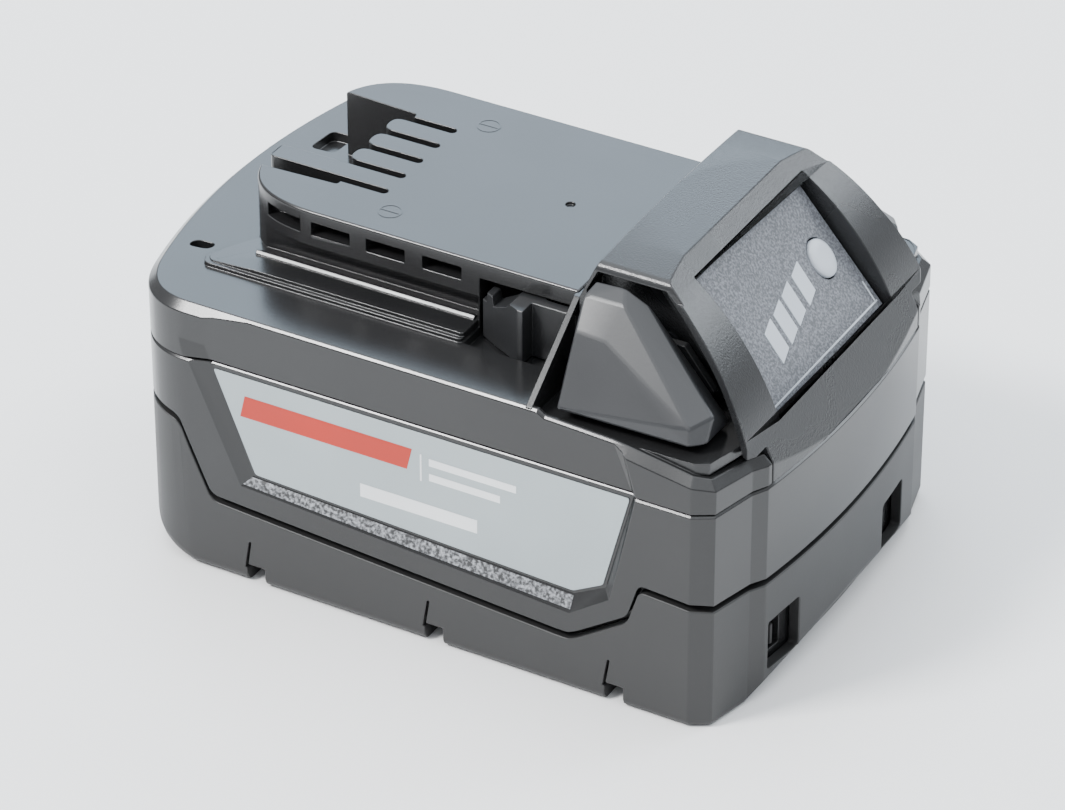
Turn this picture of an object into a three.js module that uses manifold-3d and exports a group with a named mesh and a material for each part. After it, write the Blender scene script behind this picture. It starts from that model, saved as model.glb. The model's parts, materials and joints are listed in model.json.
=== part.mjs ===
// Slide-on lithium-ion battery pack for a strapping tool.
// Millimetres, +Z up, origin on the base plane at the middle of the footprint.
// +X is the gauge end, the tool slides on from the -X end, and the pack is mirrored about Y = 0.
import * as THREE from 'three';
import { mergeVertices } from 'three/addons/utils/BufferGeometryUtils.js';
import { ConvexGeometry } from 'three/addons/geometries/ConvexGeometry.js';
import Module from 'manifold-3d';

const wasm = await Module();
wasm.setup();

// ---- driving dimensions ----
const LENGTH = 120;
const WIDTH = 82;
const HALF_L = LENGTH / 2;
const HALF_W = WIDTH / 2;
const GAP = 0.3;                 // clearance between touching pieces
const CROWN_Z = 73.6;            // top of the head
const DECK_Z = 52;               // deck beside the tower
const PARTING_Z = 41.7;          // lower case meets upper case
const FRONT_BOW = 360;           // front wall: x = HALF_L - y^2 / FRONT_BOW
const FRONT_BOW_W = 27.6;        // half width of the bowed part of the front wall
const REAR_BOW = 240;            // rear wall: x = -HALF_L + y^2 / REAR_BOW
const BOOT_WALL = 2;
const CASE_WALL = 2;
const DECK_WALL = 2.4;

const TOWER_Z = 64.5;            // platform on top of the tower
const TOWER_W = 23;              // half width of the tower
const TOWER_REAR_X = -45.6;
const BULKHEAD_X = 20.3;         // rear face of the head
const LEDGE_W = 28;              // half width of the rail ledge
const LEDGE_Z = 53.4;
const RAIL_TOP_Z = 57.9;
const RAIL_DEPTH = 2.5;
const SLIT_PITCH = 5.65;
const SLIT_WIDTH = 1.4;
const SLIT_END_X = -21.9;
const RAIL_FRONT_X = 2;          // rail groove and ledge end here
const LOBE_GAP = [[-50, 14.3], [-32.2, 13.1]];   // x and half width of the gap in the tower's rear
const FINGER_Y = [-11.1, -6.6];  // long finger left standing in that gap
const WINDOW_X = [-39.3, -29.7, -19.2, -8.5];
const WINDOW_LENGTH = 7.3;
const WINDOW_Z = [60, 62.4];

const GAUGE_TOP = [39.47, 70.66];      // x, z of the recess's top edge
const GAUGE_LENGTH = 26.66;            // down the slope
const GAUGE_SLOPE = 51.66 * Math.PI / 180;
const GAUGE_BULGE = 1.9;               // how far the sloping face bows out of its chord

const CELL_R = 9.15;
const CELL_LENGTH = 65;
const CELL_PITCH = 19;
const CELL_LAYER_Z = [15.2, 34.2];

// ---- materials ----
function plastic(color, roughness, metalness = 0) {
  return new THREE.MeshStandardMaterial({ color, roughness, metalness });
}
const bootRubber = plastic(0x2b2a2a, 0.75);
const casePlastic = plastic(0x35363a, 0.4);
const headPlastic = plastic(0x3a3b3d, 0.55);
const padRubber = plastic(0x404245, 0.8);
const hookPlastic = plastic(0x303134, 0.45);
const plateGrey = plastic(0x707376, 0.6);
const barLight = plastic(0xc9ced1, 0.35);
const labelFilm = plastic(0xa3afb8, 0.4, 0.3);
const cellSleeve = plastic(0x2f6f8f, 0.4);
const holderPlastic = plastic(0x2a2a2c, 0.6);
const boardGreen = plastic(0x1f5a36, 0.5);
const copper = plastic(0xb4703a, 0.35, 1);
const nickel = plastic(0xb9b8b2, 0.35, 1);
const steel = plastic(0x8d9196, 0.35, 1);
const foamGrey = plastic(0x55585c, 0.95);
const leadRed = plastic(0x9b2a22, 0.5);
const leadBlack = plastic(0x1c1c1e, 0.5);

// ---- solids ----
function solid(geometry) {
  const bare = geometry.index ? geometry.toNonIndexed() : geometry.clone();
  for (const key of Object.keys(bare.attributes)) {
    if (key !== 'position') bare.deleteAttribute(key);
  }
  const merged = mergeVertices(bare, 1e-4);
  return new wasm.Manifold(new wasm.Mesh({
    numProp: 3,
    vertProperties: new Float32Array(merged.attributes.position.array),
    triVerts: new Uint32Array(merged.index.array),
  }));
}

function extrude(points, depth, bevel = 0) {
  const shape = new THREE.Shape(points.map(([a, b]) => new THREE.Vector2(a, b)));
  return new THREE.ExtrudeGeometry(shape, {
    depth: depth - 2 * bevel,
    bevelEnabled: bevel > 0,
    bevelThickness: bevel,
    bevelSize: bevel,
    bevelOffset: -bevel,
    bevelSegments: 1,
  }).translate(0, 0, bevel);
}

// outline in x, y, raised from z0 to z1
function prismZ(points, z0, z1, bevel = 0) {
  return solid(extrude(points, z1 - z0, bevel).translate(0, 0, z0));
}

// outline in x, z, running from y0 to y1
function prismY(points, y0, y1, bevel = 0) {
  const geometry = extrude(points, y1 - y0, bevel).translate(0, 0, -y1);
  return solid(geometry.rotateX(Math.PI / 2));
}

// outline in y, z, running from x0 to x1
function prismX(points, x0, x1) {
  const turn = new THREE.Matrix4().makeBasis(
    new THREE.Vector3(0, 1, 0), new THREE.Vector3(0, 0, 1), new THREE.Vector3(1, 0, 0));
  return solid(extrude(points, x1 - x0).translate(0, 0, x0).applyMatrix4(turn));
}

function box(x0, x1, y0, y1, z0, z1) {
  const geometry = new THREE.BoxGeometry(x1 - x0, y1 - y0, z1 - z0);
  return solid(geometry.translate((x0 + x1) / 2, (y0 + y1) / 2, (z0 + z1) / 2));
}

// the same box on one side of the middle plane: near and far are distances from Y = 0
function sideBox(side, x0, x1, near, far, z0, z1) {
  return side > 0 ? box(x0, x1, near, far, z0, z1) : box(x0, x1, -far, -near, z0, z1);
}

function sidePrismY(side, points, near, far, bevel = 0) {
  return side > 0 ? prismY(points, near, far, bevel) : prismY(points, -far, -near, bevel);
}

function cylinderY(x, z, radius, y0, y1, sides) {
  const geometry = new THREE.CylinderGeometry(radius, radius, y1 - y0, sides);
  return solid(geometry.translate(x, (y0 + y1) / 2, z));
}

function cylinderZ(x, y, radius, z0, z1, sides) {
  const geometry = new THREE.CylinderGeometry(radius, radius, z1 - z0, sides);
  return solid(geometry.rotateX(Math.PI / 2).translate(x, y, (z0 + z1) / 2));
}

function union(parts) {
  return parts.reduce((sum, part) => sum.add(part));
}

const pack = new THREE.Group();

function addPiece(name, shape, material) {
  const { vertProperties, triVerts } = shape.getMesh();
  const geometry = new THREE.BufferGeometry();
  geometry.setAttribute('position', new THREE.BufferAttribute(new Float32Array(vertProperties), 3));
  geometry.setIndex(new THREE.BufferAttribute(new Uint32Array(triVerts), 1));
  geometry.computeVertexNormals();
  const mesh = new THREE.Mesh(geometry, material);
  mesh.name = name;
  pack.add(mesh);
}

// ---- plan outline of the case ----
function mirrored(half) {
  const other = half.filter(([, y]) => y > 0.01).map(([x, y]) => [x, -y]).reverse();
  return half.concat(other);
}

function caseOutline() {
  const rearY = HALF_W - 11;
  const half = [];
  for (let i = 0; i <= 4; i += 1) {
    const y = FRONT_BOW_W * i / 4;
    half.push([HALF_L - y * y / FRONT_BOW, y]);
  }
  // step back to the flat corner panel, then the corner facet
  half.push([HALF_L - 3.6, FRONT_BOW_W + 2.8], [HALF_L - 5.6, HALF_W - 2], [HALF_L - 9.1, HALF_W]);
  const rearX = y => -HALF_L + y * y / REAR_BOW;
  const corner = new THREE.QuadraticBezierCurve(
    new THREE.Vector2(-HALF_L + 16.5, HALF_W),
    new THREE.Vector2(-HALF_L + 6.5, HALF_W),
    new THREE.Vector2(rearX(rearY), rearY));
  for (const p of corner.getPoints(6)) half.push([p.x, p.y]);
  for (let i = 3; i >= 0; i -= 1) {
    const y = rearY * i / 4;
    half.push([rearX(y), y]);
  }
  return mirrored(half);
}

function inset(points, distance) {
  const count = points.length;
  return points.map((p, i) => {
    const a = points[(i + count - 1) % count];
    const b = points[(i + 1) % count];
    const [u, v] = [[p[0] - a[0], p[1] - a[1]], [b[0] - p[0], b[1] - p[1]]]
      .map(([x, y]) => [-y / Math.hypot(x, y), x / Math.hypot(x, y)]);
    const scale = distance / (1 + u[0] * v[0] + u[1] * v[1]);
    return [p[0] + (u[0] + v[0]) * scale, p[1] + (u[1] + v[1]) * scale];
  });
}

const OUTLINE = caseOutline();

// ---- boot and lower case ----
// zigzag top edge of the boot, the same line on both long sides
const BOOT_EDGE = [
  [-62, 29.1], [-50.8, 29.1], [-45.6, 28.5], [-39.5, 14.5], [27.4, 10], [29.3, 10.1],
  [39.6, 17], [41.7, 23.8], [50.7, 23.2], [62, 22],
];
const SCREWS = [[-50.4, -24], [-50.4, 24], [50.4, -24], [50.4, 24]];
const NOTCH_X = [[-32.9, -29.5], [1.7, 5.1], [35.6, 39]];
const NOTCH_TOP = 3.7;
const NOTCH_DEPTH = 5.6;
const PORT_Y = [[-26.5, -17.5], [12.5, 21.5]];
const BOOT_TOP_MAX = 30;

function bootRegion(gap) {
  const edge = BOOT_EDGE.map(([x, z]) => [x, z - gap]);
  return prismY([[-62, -1], ...edge, [62, -1]], -45, 45);
}

function bottomCorners() {
  const front = prismY([[HALF_L - 5, -1], [HALF_L - 4.4, 0], [HALF_L - 0.6, 5.5],
    [HALF_L + 1, 9], [HALF_L + 3, -1]], -45, 45);
  const rear = prismY([[-HALF_L + 5.5, -1], [-HALF_L + 4.5, 0], [-HALF_L + 0.4, 6],
    [-HALF_L - 1, 9], [-HALF_L - 3, -1]], -45, 45);
  return front.add(rear);
}

function bottomNotches() {
  const cuts = [];
  for (const [x0, x1] of NOTCH_X) {
    for (const side of [-1, 1]) {
      cuts.push(sideBox(side, x0, x1, HALF_W - NOTCH_DEPTH, HALF_W + 2, -1, NOTCH_TOP));
    }
  }
  return union(cuts);
}

function makeBoot() {
  let boot = prismZ(OUTLINE, 0, BOOT_TOP_MAX + 4, 1.4).subtract(bottomCorners());
  boot = boot.intersect(bootRegion(0));
  boot = boot.subtract(prismZ(inset(OUTLINE, BOOT_WALL), BOOT_WALL, BOOT_TOP_MAX + 10));
  boot = boot.subtract(bottomNotches());
  for (const [y0, y1] of PORT_Y) {
    boot = boot.subtract(box(HALF_L - 8, HALF_L + 2, y0, y1, 5, 13.5));
  }
  for (const [x, y] of SCREWS) {
    boot = boot.subtract(cylinderZ(x, y, 4, -1, BOOT_WALL + 1, 16));
  }
  return boot;
}

// bevelled side recess that holds the label, and the flat label in it
const LABEL = [[-39.3, 41], [39.9, 41], [35, 21.7], [29.3, 18.6], [-31.7, 21.3]];
const LABEL_RECESS = [[-45, 45.5], [41.6, 45.5], [36.4, 20.4], [29, 15.2], [-33.6, 19.4]];
const LABEL_DEPTH = 1.3;
const LABEL_THICK = 0.5;

function labelRecess(side) {
  const outer = HALF_W + 1;
  const inner = HALF_W - LABEL_DEPTH;
  const slab = sidePrismY(side, LABEL, inner, outer);
  const rim = new ConvexGeometry([
    ...LABEL.map(([x, z]) => new THREE.Vector3(x, side * inner, z)),
    ...LABEL_RECESS.map(([x, z]) => new THREE.Vector3(x, side * (HALF_W + 0.01), z)),
    ...LABEL_RECESS.map(([x, z]) => new THREE.Vector3(x, side * outer, z)),
  ]);
  return slab.add(solid(rim));
}

function makeLowerCase() {
  const liner = prismZ(inset(OUTLINE, BOOT_WALL + GAP), BOOT_WALL + GAP, PARTING_Z);
  const band = prismZ(OUTLINE, 5, PARTING_Z).subtract(bootRegion(-GAP));
  let shell = liner.subtract(prismY([[HALF_L - 8, 0], [HALF_L - 2, 8], [HALF_L, 0]], -45, 45));
  shell = shell.subtract(prismY([[-HALF_L + 8, 0], [-HALF_L + 2, 8], [-HALF_L, 0]], -45, 45));
  shell = shell.add(band);
  const floorZ = BOOT_WALL + GAP + CASE_WALL;
  const cavity = inset(OUTLINE, BOOT_WALL + GAP + CASE_WALL);
  shell = shell.subtract(prismZ(cavity, floorZ, PARTING_Z + 5));
  shell = shell.subtract(labelRecess(-1)).subtract(labelRecess(1)).subtract(bottomNotches());
  for (const [x, y] of SCREWS) {
    shell = shell.subtract(cylinderZ(x, y, 4, -1, floorZ - 0.8, 16));
    shell = shell.subtract(cylinderZ(x, y, 1.8, -1, floorZ + 1, 12));
  }
  return shell;
}

// ---- upper case ----
const HEAD_PLAN = [
  [19, 24.8], [37.5, 24.8], [43.8, 27], [49.8, 28.9], [55.8, 31.5], [58.6, 26.4], [63, 26.4],
];
const SILL = [[36, 50.8], [50, 48.6], [63, 46.8]];
const POCKET_FLOOR_Z = 50;
const POCKET_W = 38.8;           // half width inside the latch pockets
const HOOK_TOP_Z = 60.9;
const HOOK_PIT_Z = 50.4;         // floor of the shallow pit in the deck that each hook stands in
const HOOK_PIT_W = 28.4;         // half width across the two pits
const HOOK_END_X = 19;           // where the low part of the hook ends, short of the bulkhead
const FLANGE_FOOT_Z = 48.3;

function towerOutline() {
  const rear = [
    [TOWER_REAR_X, 0], [TOWER_REAR_X, 11.5], [-44.9, 16.3], [-42.5, 19.9], [-38, 22.4], [-32, TOWER_W],
  ];
  return mirrored([[BULKHEAD_X - 0.2, 0], [BULKHEAD_X - 0.2, TOWER_W], ...rear.reverse()]);
}

function rearNotch() {
  // wide gap between the lobes, and the long finger left standing in it
  const [[x0, half0], [x1, half1]] = LOBE_GAP;
  const gap = prismZ([[x0, -half0], [x1, -half1], [x1, half1], [x0, half0]], 45, 70);
  const finger = box(TOWER_REAR_X, x1 + 2, FINGER_Y[0], FINGER_Y[1], 45, 70);
  return gap.subtract(finger).intersect(box(-50, -20, -20, 20, DECK_Z, 70));
}

function makeTopCase() {
  let shell = prismZ(OUTLINE, PARTING_Z - 8, DECK_Z, 0.9);
  shell = shell.subtract(box(-70, 70, -50, 50, 20, PARTING_Z + GAP));
  // ledge under the rails, and the tower
  const ledge = [
    [RAIL_FRONT_X, LEDGE_W], [-48.5, LEDGE_W], [-51.5, 26], [-52.2, 22], [-52.2, 15], [-45, 13.8],
    [RAIL_FRONT_X, 13.8],
  ];
  for (const side of [-1, 1]) {
    shell = shell.add(prismZ(ledge.map(([x, y]) => [x, side * y]), DECK_Z - 0.5, LEDGE_Z));
  }
  shell = shell.add(prismZ(towerOutline(), DECK_Z - 1, TOWER_Z, 0.5));
  for (const side of [-1, 1]) {
    const near = TOWER_W - RAIL_DEPTH;
    shell = shell.subtract(sideBox(side, -50, RAIL_FRONT_X, near, 30, LEDGE_Z, RAIL_TOP_Z));
    for (const x of WINDOW_X) {
      shell = shell.subtract(sideBox(side, x, x + WINDOW_LENGTH, near - 2, 30, ...WINDOW_Z));
    }
  }
  // hollow inside, left standing on the walls
  const inner = inset(OUTLINE, CASE_WALL + 0.6);
  shell = shell.subtract(prismZ(inner, 30, DECK_Z - DECK_WALL));
  const towerInner = mirrored([[22, 0], [22, 18.3], [-31, 18.3], [-31, 0]]);
  shell = shell.subtract(prismZ(towerInner, 40, TOWER_Z - 2));
  shell = shell.subtract(rearNotch());
  for (let i = -2; i <= 2; i += 1) {
    const y = i * SLIT_PITCH;
    shell = shell.subtract(box(-50, SLIT_END_X, y - SLIT_WIDTH / 2, y + SLIT_WIDTH / 2, DECK_Z, 70));
  }
  // front: open under the head, low sill around the latch pockets
  const floor = box(BULKHEAD_X + 1, 57, -POCKET_W, POCKET_W, POCKET_FLOOR_Z - 2, POCKET_FLOOR_Z);
  shell = shell.add(floor.intersect(prismZ(inset(OUTLINE, 1), 40, 60)));
  shell = shell.subtract(box(BULKHEAD_X + 1, 53, -POCKET_W, POCKET_W, POCKET_FLOOR_Z, 90));
  shell = shell.subtract(prismY([[36, 90], ...SILL, [63, 90]], -45, 45));
  shell = shell.subtract(box(BULKHEAD_X + 3, 50, -18, 18, 30, 60));
  shell = shell.subtract(box(51.7, 63, -22.6, 22.6, 30, 90));
  const faceSeat = [[54.3, 90], [54.3, 49], [57.1, 41], [63, 41], [63, 90]];
  shell = shell.subtract(prismY(faceSeat, -26.7, 26.7));
  // bulkhead behind the latch pockets, and the windows that the latch hooks work in
  for (const side of [-1, 1]) {
    const rib = [
      [20, 51], [POCKET_W + 0.1, 51], [POCKET_W + 0.1, 51.9], [24, TOWER_Z - 0.3], [20, TOWER_Z - 0.3],
    ];
    shell = shell.add(prismX(rib.map(([y, z]) => [side * y, z]), BULKHEAD_X, BULKHEAD_X + 1));
    shell = shell.subtract(
      sideBox(side, RAIL_FRONT_X + GAP, BULKHEAD_X + 0.1, 18.5, 31, DECK_Z, HOOK_TOP_Z + 0.5));
    shell = shell.subtract(
      sideBox(side, RAIL_FRONT_X + GAP, BULKHEAD_X - 0.6, 18.5, HOOK_PIT_W, HOOK_PIT_Z, DECK_Z + 1));
    shell = shell.subtract(sideBox(side, BULKHEAD_X - 1, 23, 19, 25.4, DECK_Z, HOOK_TOP_Z + 0.5));
  }
  return shell.subtract(labelRecess(-1)).subtract(labelRecess(1));
}

// ---- head ----
// a point on the sloping gauge face: down the slope from the recess's top edge, and out of the chord
function slopePoint(down, out) {
  return [
    GAUGE_TOP[0] + Math.cos(GAUGE_SLOPE) * down + Math.sin(GAUGE_SLOPE) * out,
    GAUGE_TOP[1] - Math.sin(GAUGE_SLOPE) * down + Math.cos(GAUGE_SLOPE) * out,
  ];
}

function slopeCurve(offset) {
  const points = [];
  for (let i = 0; i <= 6; i += 1) {
    const t = i / 6;
    points.push(slopePoint(GAUGE_LENGTH * t, 4 * GAUGE_BULGE * t * (1 - t) + offset));
  }
  return points;
}

// block across the slope: outline in distance down the slope and y, thickness along its normal
function slopeBlock(points, out0, out1) {
  const down = [Math.cos(GAUGE_SLOPE), 0, -Math.sin(GAUGE_SLOPE)];
  const out = [Math.sin(GAUGE_SLOPE), 0, Math.cos(GAUGE_SLOPE)];
  const place = new THREE.Matrix4().makeBasis(
    new THREE.Vector3(...down), new THREE.Vector3(0, 1, 0), new THREE.Vector3(...out));
  place.setPosition(GAUGE_TOP[0], 0, GAUGE_TOP[1]);
  return solid(extrude(points, out1 - out0).translate(0, 0, out0).applyMatrix4(place));
}

const RECESS = mirrored([[26.66, 0], [26.66, 20.4], [0, 18.9], [0, 0]]);
const PLATE = mirrored([[26.36, 0], [26.36, 20.05], [0.3, 18.55], [0.3, 0]]);
const BOARD_BAY = mirrored([[22.4, 0], [22.4, 17.6], [4.6, 17.6], [4.6, 0]]);
const BOARD = mirrored([[22, 0], [22, 17.2], [5, 17.2], [5, 0]]);
const PLATE_OUT = -1.2;
const PLATE_THICK = 1.2;
const BUTTON_AT = [13.2, 12.6];        // distance down the slope, and y
const BUTTON_R = [2.9, 3.5];           // half sizes across and down the slope
const BAR_AT = [[14, 5.1], [15.2, 0.2], [16.4, -4.1], [17.6, -8.6]];

function oval(grow) {
  const points = [];
  for (let i = 0; i < 20; i += 1) {
    const a = i * Math.PI / 10;
    points.push([BUTTON_AT[0] + (BUTTON_R[1] + grow) * Math.cos(a),
      BUTTON_AT[1] + (BUTTON_R[0] + grow) * Math.sin(a)]);
  }
  return points;
}

function barOutline([down, y], grow) {
  const half = [1.7 + grow, 2.9 + grow];
  return [[down - half[1] + 0.6, y - half[0]], [down + half[1] + 0.6, y - half[0]],
    [down + half[1] - 0.6, y + half[0]], [down - half[1] - 0.6, y + half[0]]];
}

const SPRING_AT = [35, 56.5];          // x, z of the spring's axis
const SPRING_R = 2.6;

function makeHead() {
  const profile = [
    [BULKHEAD_X + 1.3, 42], [BULKHEAD_X + 1.3, 64.8], [25.7, CROWN_Z], [36.4, CROWN_Z - 0.8],
    ...slopeCurve(0), [59.8, 42],
  ];
  let head = prismY(profile, -32, 32);
  const arch = [];
  for (let i = -8; i <= 8; i += 1) {
    const y = 33 * i / 8;
    arch.push([y, CROWN_Z - y * y / 360]);
  }
  head = head.intersect(prismX([...arch, [33, 30], [-33, 30]], 15, 65));
  const plan = mirrored([[19, 0], ...HEAD_PLAN, [63, 0]].reverse());
  head = head.intersect(prismZ(plan, 30, 90)).intersect(prismZ(OUTLINE, 30, 90));
  // latch pockets under the thin side flanges
  const outerPocket = [
    [23.2, 40], [23.2, 64.4], [26.4, 70.6], [37.4, 70.6],
    ...slopeCurve(-1.7), [57.4, 42.2], [57.4, 40],
  ];
  const innerPocket = [
    [23.2, POCKET_FLOOR_Z - 8], [23.2, 64.4], [26.4, 70.6], [33.5, 70.6], [36, 67.6],
    slopePoint(2, -4.7), slopePoint(24, -4.7), [52, POCKET_FLOOR_Z - 8],
  ];
  for (const side of [-1, 1]) {
    head = head.subtract(sidePrismY(side, outerPocket, 22.3, 34));
    head = head.subtract(sidePrismY(side, innerPocket, 20, 34));
    head = head.subtract(sideBox(side, BULKHEAD_X, 24, 19.9, 30, 40, HOOK_TOP_Z + 0.5));
    head = head.subtract(sideBox(side, 53, 60, 26.4, 34, 40, FLANGE_FOOT_Z));
  }
  const hollow = [
    [24, 30], [24, 64], [27.4, 70.8], [36, 70.4], slopePoint(0.8, -4.6), slopePoint(25.5, -4.6),
    [55.9, 42], [55.9, 30],
  ];
  head = head.subtract(prismY(hollow, -18, -1)).subtract(prismY(hollow, 1, 18));
  head = head.subtract(box(15, 53, -34, 34, 30, POCKET_FLOOR_Z + GAP));
  head = head.subtract(box(BULKHEAD_X, 26, -14, 14, 50, 60));
  head = head.subtract(slopeBlock(RECESS, PLATE_OUT - PLATE_THICK - GAP, 8));
  head = head.subtract(slopeBlock(BOARD_BAY, -8.8, -4.6));
  const well = slopeBlock(oval(1.2), -9, 0);
  head = head.subtract(well.intersect(box(20, 70, 1, 18, 20, 90)));
  for (const side of [-1, 1]) {
    head = head.subtract(side > 0
      ? cylinderY(SPRING_AT[0], SPRING_AT[1], SPRING_R + 0.9, 16, 21, 16)
      : cylinderY(SPRING_AT[0], SPRING_AT[1], SPRING_R + 0.9, -21, -16, 16));
  }
  return head;
}

// ---- latches ----
function makeLatchPad(side) {
  // outer triangle with its raised ridge, and the edge that tucks under the flange
  const outer = [
    [24.6, 26, 65.8], [25.3, 38, 52.8], [48, 37.6, 52.8], [47.9, 36, 55], [30.5, 26.2, 65.3],
  ];
  const inner = [
    [24.6, 24.5, 67.4], [28, 24.5, 68.6], [34.2, 24.5, 67.8], [50.4, 30.5, 55.4], [50.2, 26.5, 53],
    [40, 24.5, 53], [25.3, 24.5, 53],
  ];
  const place = ([x, y, z]) => new THREE.Vector3(x, side * y, z);
  const hull = points => solid(new ConvexGeometry(points.map(place)));
  const shrink = ([x, y, z]) => [35 + (x - 35) * 0.84, y - 1.8, 57.6 + (z - 57.6) * 0.84];
  return hull([...outer, ...inner]).subtract(hull([...outer, ...inner].map(shrink)));
}

function makeLatchHook(side) {
  // low wedge that snaps behind the rail, then the arm that runs through the bulkhead to the carrier
  const wedge = [
    [3, 21.6], [3, 23.3], [6.6, 25.2], [12, 27.8], [13, 27.8], [13, 24.7],
    [HOOK_END_X, 24.7], [HOOK_END_X, 22.7], [15, 22.7], [13, 21.6],
  ];
  const hook = prismZ(wedge.map(([x, y]) => [x, side * y]), HOOK_PIT_Z + GAP, HOOK_TOP_Z);
  const arm = sideBox(side, HOOK_END_X - 3, 24.2, 22.7, 24.7, DECK_Z + 0.4, HOOK_TOP_Z);
  let carrier = sideBox(side, 23.6, 46, 22.7, 24.1, 53.4, HOOK_TOP_Z);
  carrier = carrier.subtract(slopeBlock([[-5, -40], [30, -40], [30, 40], [-5, 40]], -5.2, 12));
  // the top steps down from the nose to a small post at the rear end
  const step = [
    [2, 64], [10, 64], [10, HOOK_TOP_Z - 0.2], [9.2, 59.9], [5.9, 58], [5.6, 59.8], [4.2, 59.8],
    [4.1, 57.9], [2, 57.9],
  ];
  return union([hook, arm, carrier]).subtract(prismY(step, -40, 40));
}

function makeLatchSpring(side) {
  const turns = 10;
  const near = 1.7;
  const far = 22.2;
  class Helix extends THREE.Curve {
    getPoint(t) {
      const a = t * turns * 2 * Math.PI;
      const y = side * (near + (far - near) * t);
      const [x, z] = [SPRING_R * Math.cos(a), SPRING_R * Math.sin(a)];
      return new THREE.Vector3(SPRING_AT[0] + x, y, SPRING_AT[1] + z);
    }
  }
  const wire = new THREE.Shape();
  for (let i = 0; i < 6; i += 1) {
    const a = i * Math.PI / 3;
    const [u, v] = [0.35 * Math.cos(a), 0.35 * Math.sin(a)];
    if (i === 0) wire.moveTo(u, v);
    else wire.lineTo(u, v);
  }
  return solid(new THREE.ExtrudeGeometry(wire, {
    steps: 110, bevelEnabled: false, extrudePath: new Helix(),
  }));
}

// ---- gauge ----
function makeGaugePlate() {
  let plate = slopeBlock(PLATE, PLATE_OUT - PLATE_THICK, PLATE_OUT);
  plate = plate.subtract(slopeBlock(oval(GAP), -5, 2));
  for (const at of BAR_AT) {
    plate = plate.subtract(slopeBlock(barOutline(at, GAP), -5, 2));
  }
  return plate;
}

// ---- cells, holders and strips ----
const CELLS = [];
for (const z of CELL_LAYER_Z) {
  for (let i = -2; i <= 2; i += 1) CELLS.push([i * CELL_PITCH, z]);
}

function makeCell([x, z]) {
  const half = CELL_LENGTH / 2;
  const can = cylinderY(x, z, CELL_R, -half, half - 0.8, 20);
  return can.add(cylinderY(x, z, 4.2, half - 1, half, 12));
}

function makeHolder(side) {
  const [x0, x1] = [-2.5 * CELL_PITCH - 0.6, 2.5 * CELL_PITCH + 0.6];
  let holder = sideBox(side, x0, x1, 20, 31.4, CELL_LAYER_Z[0] - 10.3, CELL_LAYER_Z[1] + 10.3);
  for (const [x, z] of CELLS) {
    const [y0, y1] = side > 0 ? [19, 33] : [-33, -19];
    holder = holder.subtract(cylinderY(x, z, CELL_R + 0.25, y0, y1, 20));
  }
  return holder;
}

// each strip joins the cells of one or two neighbouring pairs
function makeStrip(side, from, to) {
  const [x0, x1] = [from * CELL_PITCH - 5, to * CELL_PITCH + 5];
  const y0 = CELL_LENGTH / 2 + GAP;
  return sideBox(side, x0, x1, y0, y0 + 0.5, CELL_LAYER_Z[0] - 5, CELL_LAYER_Z[1] + 5);
}

function makeScrew([x, y]) {
  const headZ = BOOT_WALL + GAP + CASE_WALL - 1.1;
  const head = cylinderZ(x, y, 3.2, 0.6, headZ, 16);
  const shank = cylinderZ(x, y, 1.5, headZ - 0.5, headZ + 6, 12);
  const socket = cylinderZ(x, y, 1.4, 0, 1.9, 6);
  return head.add(shank).subtract(socket);
}

// leads from the end strips over the holders to the board
const LEAD_R = 1.1;
const LEAD_POSITIVE = [
  [-38, -34.9, 30], [-38, -34.9, 38], [-38, -34.4, 44], [-38, -31, 48.1], [-38, -24, 48.35],
];
const LEAD_NEGATIVE = [
  [38, 34.9, 30], [38, 34.9, 38], [34, 34.7, 44], [26, 33.6, 45.9],
  [18, 32, 46.8], [9, 28, 48.3], [4, 23, 48.35],
];

function makeLead(route) {
  const path = new THREE.CatmullRomCurve3(route.map(p => new THREE.Vector3(...p)));
  const ring = new THREE.Shape();
  ring.absarc(0, 0, LEAD_R, 0, 2 * Math.PI);
  return solid(new THREE.ExtrudeGeometry(ring, {
    steps: 24, curveSegments: 8, bevelEnabled: false, extrudePath: path,
  }));
}

// ---- assembly ----
addPiece('base_boot', makeBoot(), bootRubber);
addPiece('lower_case', makeLowerCase(), casePlastic);
addPiece('top_case', makeTopCase(), casePlastic);
addPiece('head_cover', makeHead(), headPlastic);
for (const [side, hand] of [[1, 'left'], [-1, 'right']]) {
  addPiece(`latch_button_${hand}`, makeLatchPad(side), padRubber);
  addPiece(`latch_hook_${hand}`, makeLatchHook(side), hookPlastic);
  addPiece(`latch_spring_${hand}`, makeLatchSpring(side), steel);
  const labelInner = HALF_W - LABEL_DEPTH + GAP;
  const film = inset(LABEL.slice().reverse(), 0.5);
  addPiece(`side_label_${hand}`, sidePrismY(side, film, labelInner, labelInner + LABEL_THICK), labelFilm);
  addPiece(`cell_holder_${hand}`, makeHolder(side), holderPlastic);
}
addPiece('gauge_plate', makeGaugePlate(), plateGrey);
addPiece('gauge_button', slopeBlock(oval(0), PLATE_OUT - 3.4, PLATE_OUT + 0.9), barLight);
BAR_AT.forEach((at, i) => {
  const bar = slopeBlock(barOutline(at, 0), PLATE_OUT - PLATE_THICK, PLATE_OUT + 0.1);
  addPiece(`gauge_bar_${i + 1}`, bar, barLight);
});
addPiece('gauge_board', slopeBlock(BOARD, -8.4, -7), boardGreen);
CELLS.forEach((at, i) => {
  addPiece(`cell_${String(i + 1).padStart(2, '0')}`, makeCell(at), cellSleeve);
});
addPiece('bus_strip_1', makeStrip(1, -2, -1), nickel);
addPiece('bus_strip_2', makeStrip(1, 0, 1), nickel);
addPiece('bus_strip_3', makeStrip(1, 2, 2), nickel);
addPiece('bus_strip_4', makeStrip(-1, -2, -2), nickel);
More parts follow.
